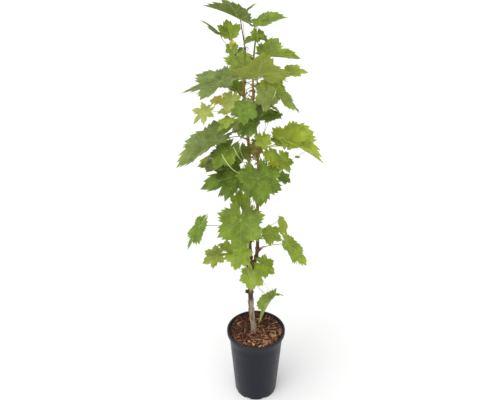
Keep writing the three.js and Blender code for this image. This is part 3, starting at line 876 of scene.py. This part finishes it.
LEAF_FINISHES = {
    name: leaf_finish("leaf_" + name, upper, second, 0.5 if name == "grey" else 0.56, 0.32, 0.35)
    for name, (upper, second, _) in TINTS.items()
}
UNDER_FINISHES = {
    name: leaf_finish("leaf_under_" + name, under, under, 0.7, 0.25, 0.5)
    for name, (_, _, under) in TINTS.items()
}
STALK_FINISHES = {
    name: stalk_finish("stalk_" + name, *pair) for name, pair in STALK_TINTS.items()
}
VEIN_FINISHES = {
    "light": stalk_finish("vein_light", "b9c27c", "c3ca8c"),
    "green": stalk_finish("vein_green", "a3b566", "b0c074"),
}
LIGHT_VEINED = ("bright", "lime", "pale", "gold")
STALK_NAMES = list(STALK_FINISHES)

stalks, stems = Kind(), Kind()
veins = {name: Kind() for name in VEIN_FINISHES}
blade_seeds = itertools.count(101)


def spray_piece(order, name):
    """One spray: its blades as one piece, with its stem, stalks and veins added to theirs."""
    cane, height, bearing, length, young, leaves = SPRAYS[name]
    foot, middle, fork, radius = stem_frame(cane, height, bearing, length)
    thick = min(radius, STEM_RADIUS)
    stems.add(*tapered(bezier([foot, middle, fork], 10), 1.05 * thick, 0.7 * thick, 12))
    start = fork + (middle - fork) * 0.25
    grown = leaves + young_leaves(start, bearing or 0, young, seeded(SEED + order), "bright")
    tints = sorted({spec["tint"] for spec in grown})
    foliage = Kind()
    for spec in grown:
        blade = Blade(spec, next(blade_seeds))
        points, faces, sides = blade.mesh()
        paint = tints.index(spec["tint"])
        foliage.add(points, faces, [2 * paint + side for side in sides])
        stalks.add(*stalk_tube(start, blade), STALK_NAMES.index(spec["stalk"]))
        vein_kind = veins["light" if spec["tint"] in LIGHT_VEINED else "green"]
        for rib in blade.veins():
            vein_kind.add(*rib)
    finishes = [f for tint in tints for f in (LEAF_FINISHES[tint], UNDER_FINISHES[tint])]
    make_piece("leaves_" + name, foliage, finishes, ["spray_" + name])


for order, name in enumerate(SPRAYS):
    spray_piece(order, name)
make_piece("leaf_stalks", stalks, list(STALK_FINISHES.values()))
for name, kind in veins.items():
    make_piece("leaf_veins_" + name, kind, [VEIN_FINISHES[name]])


# ---------------- limbs
def bark_tube(route, spacing, sides, ridge, nodes=(), seed=0):
    """A limb with its bark's relief: long ridges, and swellings at the nodes."""
    points, radii = evenly(*smooth_route(route, 60 * len(route)), spacing)
    turn = np.linspace(0, 2 * math.pi, sides, endpoint=False)
    relief = np.zeros((len(points), sides))
    for i, point in enumerate(points):
        for j, t in enumerate(turn):
            at = Vector((3 * math.cos(t) + seed, 3 * math.sin(t), point[2] * 0.022))
            fine = Vector((9 * math.cos(t), 9 * math.sin(t) + seed, point[2] * 0.05))
            relief[i, j] = noise.noise(at) * 0.6 + abs(noise.noise(fine)) * 0.8
    for height in nodes:
        bulge = np.exp(-(((points[:, 2] - height) / 3.2) ** 2)) * 0.32
        dent = np.exp(-(((points[:, 2] - height - 6) / 3.0) ** 2)) * 0.06
        radii = radii * (1 + bulge - dent)
    return swept(points, radii[:, None] + relief * ridge, sides)


def limb_piece(name, tubes, material):
    kind = Kind()
    for tube in tubes:
        kind.add(*tube)
    make_piece(name + "_bark", kind, [material], [name])


bark, cane_bark = bark_finish(), cane_finish()
limb_piece("trunk", [
    bark_tube(TRUNK_ROUTE, 1.6, 56, 0.9, TRUNK_LUMPS),
    bark_tube(PRUNED_STUB_ROUTE, 1.0, 28, 0.8, [321], 4),
], bark)
spray_heights = {name: [] for name in CANE_ROUTES}
for cane, height, *_ in SPRAYS.values():
    if height:
        spray_heights[cane].append(height)
for seed, (name, route) in enumerate(CANE_ROUTES.items()):
    tube = bark_tube(route, 2.0, 22, 0.28, spray_heights[name], 10 + seed)
    limb_piece(name, [tube], cane_bark)
for seed, (name, route) in enumerate(SPUR_ROUTES.items()):
    tube = bark_tube(route, 1.2, 22, 0.5, [route[1][2]], 20 + seed)
    limb_piece(name, [tube], cane_bark)
make_piece("spray_stems", stems, [cane_bark])


# ---------------- tendrils, bare stalks, buds
# Stalks that have lost their blades: [tint, radius, points they bow through].
BARE_STALKS = [
    ["pale", 0.9, [[-19, -2, 668], [-34, -92, 692], [-58, -96, 716], [-75, -84, 747]]],
    ["pale", 0.7, [[-20, -2, 690], [-30, -60, 708], [-40, -74, 734], [-51, -60, 753]]],
    ["pale", 0.6, [[-20, -3, 700], [-27, -52, 712], [-33, -62, 730], [-38, -56, 750]]],
    ["pale", 0.8, [[-5, -8, 812], [22, -46, 824], [30, -49, 850], [38, -46, 874]]],
    ["pink", 0.5, [[4, -8, 745], [16, -20, 762], [18, -24, 780], [26, -20, 797]]],
    ["pink", 0.5, [[2, -7, 738], [14, -18, 755], [15, -22, 771], [19, -22, 796]]],
    ["pink", 0.5, [[1, -8, 730], [5, -12, 745], [5, -13, 757], [4, -14, 782]]],
    ["pink", 0.5, [[90, -20, 711], [97, -20, 716], [104, -18, 720], [112, -16, 727]]],
]
# Tendrils clasp both canes between two heights: [low, high, turns].
CLASPS = [[688, 736, 1.7], [812, 850, 1.3], [858, 884, 1.0], [602, 622, 0.8]]
# Dry tendrils coil round one cane between two heights: [cane, low, high, turns, slack].
COILS = [
    ["right_cane", 676, 724, 5, 5.6],
    ["right_cane", 694, 750, 6, 6.8],
    ["right_cane", 712, 738, 4, 4.2],
    ["right_cane", 806, 846, 6, 4.8],
    ["right_cane", 826, 868, 5, 6.4],
    ["left_cane", 690, 722, 4, 3.4],
    ["left_cane", 828, 850, 3, 3.2],
    ["right_cane", 596, 626, 4, 4.6],
]
# Free tendrils: [cane, height, bearing, straight length, curls].
TENDRILS = [
    ["left_cane", 893, 30, 16, 1.6],
    ["right_cane", 935, 200, 18, 1.8],
    ["right_cane", 790, 60, 26, 2.2],
    ["right_cane", 560, 150, 22, 2.0],
    ["left_cane", 540, 60, 20, 1.7],
    ["left_cane", 640, 120, 24, 2.4],
    ["right_cane", 485, 190, 18, 1.5],
]
BUD_NODES = {
    "left_cane": [455, 560, 655, 770, 822, 870],
    "right_cane": [470, 545, 610, 690, 760, 850, 925],
}
BUD_SHAPE = [0.5, 1.5, 1.9, 1.7, 1.1, 0.3]
BUD_TURN = 137
# The dry tip on the right spur: the points along it and its radii.
DRY_TIP = [[14, -4, 458], [16, -5, 460], [18.5, -6, 461], [21, -7, 461], [23, -8, 460]]
DRY_TIP_SHAPE = [1.4, 2.3, 2.0, 1.2, 0.3]


def clasp(low, high, turns, phase):
    """A tendril wound aslant round both canes, closer on one turn and looser on the next."""
    rows = []
    for u in np.linspace(0, 1, int(turns * 28)):
        height = low + (high - low) * u
        left, *_ = cane_at("left_cane", height)
        right, radius, _ = cane_at("right_cane", height)
        angle = 2 * math.pi * turns * u + phase
        loose = 1 + 0.16 * math.sin(5.3 * u + phase)
        half = np.linalg.norm(right - left) / 2 + radius + 1.2
        around = np.array([half * math.cos(angle), (radius + 3.2) * math.sin(angle), 0])
        slant = 9 * math.cos(angle) * math.sin(1.9 * phase + 2.6 * u)
        slant += 2.5 * math.sin(2 * angle + phase)
        rows.append((left + right) / 2 + around * loose + [0, 0, slant])
    return rows


def coil(cane, low, high, turns, slack):
    """A tendril coiled round one cane, loose towards the other one and uneven in its pitch."""
    inward = -1 if cane == "right_cane" else 1
    rows = []
    for u in np.linspace(0, 1, int(turns * 22)):
        angle = 2 * math.pi * turns * u
        height = low + (high - low) * u + 3.4 * math.sin(0.37 * angle + slack)
        centre, radius, _ = cane_at(cane, height)
        loose = slack * (0.5 + 0.42 * math.sin(0.61 * angle + low))
        wide = radius + 1.0 + loose
        slant = 5.0 * math.sin(0.83 * angle + low) * math.cos(angle)
        slant += 2.4 * math.sin(0.53 * angle + high)
        x = inward * loose + wide * math.cos(angle)
        rows.append(centre + [x, wide * 0.8 * math.sin(angle), slant])
    return rows


def tendril(cane, height, bearing, straight, curls):
    """A tendril that leaves its node, runs straight and ends in a tightening curl."""
    start, radius, _ = cane_at(cane, height)
    away = level(math.radians(bearing))
    up = np.array([0.0, 0.0, 1.0])
    begin = start + away * radius
    rows = [begin + (away * 0.8 + up * 0.5) * straight * u for u in np.linspace(0, 1, 10)]
    width = 6.0
    centre = rows[-1] + up * width
    for u in np.linspace(0.03, 1, int(curls * 26)):
        angle = -math.pi / 2 + 2 * math.pi * curls * u
        size = width * (1 - 0.6 * u)
        aside = np.cross(away, up) * 5 * u
        rows.append(centre + away * size * math.cos(angle) + up * size * math.sin(angle) + aside)
    return rows


tendrils, bare, buds = Kind(), Kind(), Kind()
for k, (low, high, turns) in enumerate(CLASPS):
    tendrils.add(*tapered(clasp(low, high, turns, 1.1 + 2 * k), 1.0, 0.6, 8))
for row in COILS:
    tendrils.add(*tapered(coil(*row), 1.0, 0.75, 6))
for row in TENDRILS:
    tendrils.add(*tapered(tendril(*row), 0.8, 0.3, 8))
for tint, radius, controls in BARE_STALKS:
    tube = tapered(bezier(controls, 24), 1.3 * radius, 0.9 * radius, 8)
    bare.add(*tube, STALK_NAMES.index(tint))
for cane, heights in BUD_NODES.items():
    for k, height in enumerate(heights):
        point, radius, _ = cane_at(cane, height)
        away = level(math.radians(75 + BUD_TURN * k))
        path = [point + away * (radius * 0.7 + 1.1 * step) + [0, 0, 1.5 * step]
                for step in range(len(BUD_SHAPE))]
        buds.add(*swept(path, BUD_SHAPE, 10))
buds.add(*swept(DRY_TIP, DRY_TIP_SHAPE, 12), 1)
make_piece("tendrils", tendrils, [stalk_finish("tendril", "94863a", "bdae58")])
make_piece("bare_stalks", bare, list(STALK_FINISHES.values()))
make_piece("cane_buds", buds, [
    stalk_finish("bud_scale", "7a4a30", "a06c44"),
    stalk_finish("bud_dry", "c9b8a0", "dccdb8"),
])


def bark_strips():
    """Narrow strips of old bark that peel off the trunk at one end."""
    rng = np.random.default_rng(23)
    points, radii = smooth_route(TRUNK_ROUTE, 240)
    kind = Kind()
    for _ in range(26):
        foot = rng.integers(30, 190)
        steps = rng.integers(8, 26)
        turn, width = rng.uniform(0, 2 * math.pi), rng.uniform(0.7, 1.6)
        lift, drift = rng.uniform(0.4, 2.4), rng.uniform(-0.012, 0.012)
        rows = []
        for k in range(steps):
            u = k / (steps - 1)
            i = min(foot + k, len(points) - 1)
            angle = turn + drift * k
            out, aside = level(angle), level(angle + math.pi / 2)
            proud = radii[i] + 0.5 + lift * u ** 2
            half = width * (1 - 0.6 * u)
            rows += [points[i] + out * (proud + 0.25 * z) + aside * half * y for y, z in SQUARE]
        kind.add(rows, bar(steps))
    make_piece("bark_strips", kind, [bark])


bark_strips()


# ---------------- pot and soil
def lathe(profile, sides):
    """A closed turned form from [radius, height] points that start and end on the axis."""
    turn = np.linspace(0, 2 * math.pi, sides, endpoint=False)
    inner = profile[1:-1]
    verts = [[r * math.cos(t), r * math.sin(t), z] for r, z in inner for t in turn]
    verts += [[0, 0, profile[0][1]], [0, 0, profile[-1][1]]]
    return np.array(verts), pointed(len(inner), sides)


def arc(centre, radius, start, end, count):
    """Points of an arc in the lathe's profile, angles in degrees."""
    turn = np.radians(np.linspace(start, end, count))
    return [[centre[0] + radius * math.cos(t), centre[1] + radius * math.sin(t)] for t in turn]


def wall(height):
    """The radius of the pot's outer side at a height below its lip."""
    return BASE_RADIUS + (BODY_TOP_RADIUS - BASE_RADIUS) * height / (POT_HEIGHT - LIP_HEIGHT)


# Faces of a box with its corners in the order of x, then y, then z.
BOX_FACES = [[0, 1, 3, 2], [4, 6, 7, 5], [0, 4, 5, 1], [2, 3, 7, 6], [0, 2, 6, 4], [1, 5, 7, 3]]


def pot_piece():
    """The pot's wall, rolled lip and drain slots."""
    lip_foot = POT_HEIGHT - LIP_HEIGHT
    profile = [[0, 0], [BASE_RADIUS - 1.5, 0]]
    profile += arc([BASE_RADIUS - 1.5, 1.5], 1.5, -60, 0, 4)
    profile += [[wall(z), z] for z in (12, 60, 120, 170, lip_foot - 1.6)]
    profile += [[BODY_TOP_RADIUS + 0.5, lip_foot - 0.4], [RIM_RADIUS - 0.8, lip_foot]]
    profile += arc([RIM_RADIUS - 0.9, lip_foot + 0.9], 0.9, -70, 0, 4)
    profile += arc([RIM_RADIUS - 2.2, POT_HEIGHT - 2.2], 2.2, 0, 90, 6)
    profile += arc([BODY_TOP_RADIUS + 1.2, POT_HEIGHT - 1.6], 1.6, 90, 180, 5)
    profile += [[BODY_TOP_RADIUS - WALL, lip_foot]]
    profile += [[wall(z) - WALL, z] for z in (120, 60, FLOOR)] + [[0, FLOOR]]
    kind = Kind()
    kind.add(*lathe(profile, 128))
    piece = make_piece("pot_shell", kind, [pot_finish()], ["pot"])
    cutter = Kind()
    box = np.array(list(itertools.product((-0.5, 0.5), repeat=3))) * SLOT_SIZE
    for i in range(DRAIN_SLOTS):
        turn = (i + 0.5) / DRAIN_SLOTS * 2 * math.pi
        spin = np.array([level(turn), level(turn + math.pi / 2), [0, 0, 1]])
        cutter.add((box + [BASE_RADIUS, 0, 0]) @ spin, BOX_FACES)
    mesh = bpy.data.meshes.new("slots")
    mesh.from_pydata((np.vstack(cutter.points) * MM).tolist(), [], cutter.faces)
    tool = add_object("slots", mesh)
    cut = piece.modifiers.new("slots", "BOOLEAN")
    cut.object = tool
    cut.solver = "EXACT"
    graph = bpy.context.evaluated_depsgraph_get()
    piece.data = bpy.data.meshes.new_from_object(piece.evaluated_get(graph))
    piece.modifiers.clear()
    bpy.data.objects.remove(tool)


def soil_rise(x, y):
    """How far the soil and its chips are heaped up towards the pot's wall."""
    share = math.hypot(x, y) / (BODY_TOP_RADIUS - WALL)
    return SOIL_HEAP * min(max((share - 0.55) / 0.4, 0), 1) ** 1.5


def soil_piece():
    """Crumbly soil that fills the pot to a little under its lip."""
    inset = WALL + 0.5
    foot, top = FLOOR + 0.4, SOIL_LEVEL - 2
    profile = [[0, foot], [wall(FLOOR) - inset - 8, foot], [wall(14) - inset, 14]]
    profile += [[r, top] for r in np.linspace(wall(SOIL_LEVEL) - inset, 2, 30)] + [[0, top]]
    verts, faces = lathe(profile, 96)
    for point in verts:
        if point[2] > SOIL_LEVEL - 3:
            point[2] += noise.noise(Vector(point / 9)) * 2.2 + noise.noise(Vector(point / 3)) * 1.0
            point[2] += soil_rise(point[0], point[1])
    kind = Kind()
    kind.add(verts, faces)
    make_piece("soil_fill", kind, [soil_finish()], ["soil"])


def chip(rng, length, width, thick):
    """A torn flake of bark: uneven square sections, bent along its length."""
    rows = []
    for u in np.linspace(-0.5, 0.5, CHIP_SECTIONS):
        taper = (1 - abs(u) * 1.1) * (0.7 + 0.5 * rng.random())
        lift = -(u ** 2) * length * 0.25 * rng.random()
        for y, z in SQUARE:
            jitter = (rng.random(3) - 0.5) * [length * 0.12, width * 0.3, thick * 0.5]
            corner = [u * length, y * width * taper / 2, z * thick * taper / 2 + lift]
            rows.append(corner + jitter)
    return np.array(rows), bar(CHIP_SECTIONS)


def soil_spot(rng, limit):
    """A place on the soil, evenly spread: its distance from the middle, x and y."""
    spot = limit * math.sqrt(rng.random())
    x, y, _ = level(rng.random() * 2 * math.pi) * spot
    return spot, x, y


def tumbled(rng, points, roll, pitch):
    """Points that lie turned any way and leant a little."""
    turned = Euler((rng.normal(0, roll), rng.normal(0, pitch), rng.uniform(0, 2 * math.pi)))
    return points @ np.array(turned.to_matrix()).T


def chips_piece():
    """Loose bark chips over the soil: many dark and brown ones, some light torn ones."""
    rng = np.random.default_rng(5)
    kind = Kind()
    limit = BODY_TOP_RADIUS - WALL - 2
    for number in range(CHIPS):
        spot, x, y = soil_spot(rng, limit)
        fine = number < CHIPS * FINE_CHIPS
        length = rng.uniform(3, 7) if fine else rng.uniform(7, 17)
        length = min(length, 2.2 * (BODY_TOP_RADIUS - WALL - spot) + 1)
        points, faces = chip(rng, length, length * rng.uniform(0.3, 0.7), rng.uniform(0.7, 1.6))
        points = tumbled(rng, points, 0.35, 0.3)
        z = SOIL_LEVEL - 1.6 + (0 if fine else 1.0) + rng.random() * 1.8 + soil_rise(x, y)
        shade = rng.random() + 0.16 * (x - 1.6 * y) / BODY_TOP_RADIUS
        kind.add(points + [x, y, z], faces, int(np.searchsorted(CHIP_SHADES, shade, "right")))
    for _ in range(SHREDS):
        spot, x, y = soil_spot(rng, limit - 6)
        length = min(rng.uniform(14, 30), 1.6 * (limit - spot) + 6)
        points, faces = chip(rng, length, rng.uniform(1.0, 2.4), rng.uniform(0.5, 0.9))
        points = tumbled(rng, points, 0.3, 0.1)
        z = SOIL_LEVEL + 1.6 + rng.random() + soil_rise(x, y)
        kind.add(points + [x, y, z], faces, int(rng.choice([1, 2, 3], p=[0.5, 0.35, 0.15])))
    finishes = [
        chip_finish("chip_dark", "27160f", "44291d"),
        chip_finish("chip_brown", "4e2f22", "7c4e38"),
        chip_finish("chip_tan", "8a6248", "b88c66"),
        chip_finish("chip_light", "b48c60", "dec298"),
    ]
    make_piece("soil_chips", kind, finishes)


pot_piece()
soil_piece()
chips_piece()


# ---------------- floor, light and camera
FLOOR_REACH = 6.0
FLOOR_DROP = 0.0005
KEY_AIM = (0.32, 0.45, -1.0)
KEY_SPREAD = math.radians(75)
KEY_POWER = 1.6
FILL_PLACE = (-1.6, -1.9, 1.5)
FILL_SIZE = 1.8
FILL_POWER = 10
SURROUND = 0.65


def floor_piece():
    mesh = bpy.data.meshes.new("floor")
    corners = [(x * FLOOR_REACH, y * FLOOR_REACH, -FLOOR_DROP) for x, y in SQUARE]
    mesh.from_pydata(corners, [], [[0, 1, 2, 3]])
    mesh.materials.append(floor_finish())
    add_object("floor", mesh)


def lamp(name, kind, power, aim):
    """A light that shines in a direction, and the object that holds it."""
    light = bpy.data.lights.new(name, kind)
    light.energy = power
    holder = add_object(name, light)
    holder.rotation_euler = Vector(aim).to_track_quat("-Z", "Y").to_euler()
    return light, holder


def studio(low, high):
    """Plain pale floor, a broad soft key from above and in front, a fill from the left and a
    pale surround."""
    floor_piece()
    key, _ = lamp("key", "SUN", KEY_POWER, KEY_AIM)
    key.angle = KEY_SPREAD
    middle = (Vector(low) + Vector(high)) / 2
    fill, holder = lamp("fill", "AREA", FILL_POWER, middle - Vector(FILL_PLACE))
    fill.shape = "DISK"
    fill.size = FILL_SIZE
    holder.location = FILL_PLACE
    world = bpy.data.worlds.new("surround")
    world.use_nodes = True
    surround = world.node_tree.nodes["Background"].inputs
    surround["Color"].default_value = (1, 1, 1, 1)
    surround["Strength"].default_value = SURROUND
    bpy.context.scene.world = world
    bpy.context.scene.view_settings.view_transform = "Standard"


VIEW_PITCH = math.radians(30.1)
VIEW_DISTANCE = 1.616
VIEW_TARGET = (-0.0157, 0.0, 0.5876)


def camera():
    """A 50 mm lens that looks down on the plant from in front."""
    view = bpy.data.cameras.new("view")
    view.lens = 50
    view.clip_end = 50
    holder = add_object("view", view)
    x, y, z = VIEW_TARGET
    back, rise = VIEW_DISTANCE * math.cos(VIEW_PITCH), VIEW_DISTANCE * math.sin(VIEW_PITCH)
    holder.location = (x, y - back, z + rise)
    holder.rotation_euler = (math.pi / 2 - VIEW_PITCH, 0, 0)
    bpy.context.scene.camera = holder


studio(*cad_box)
camera()
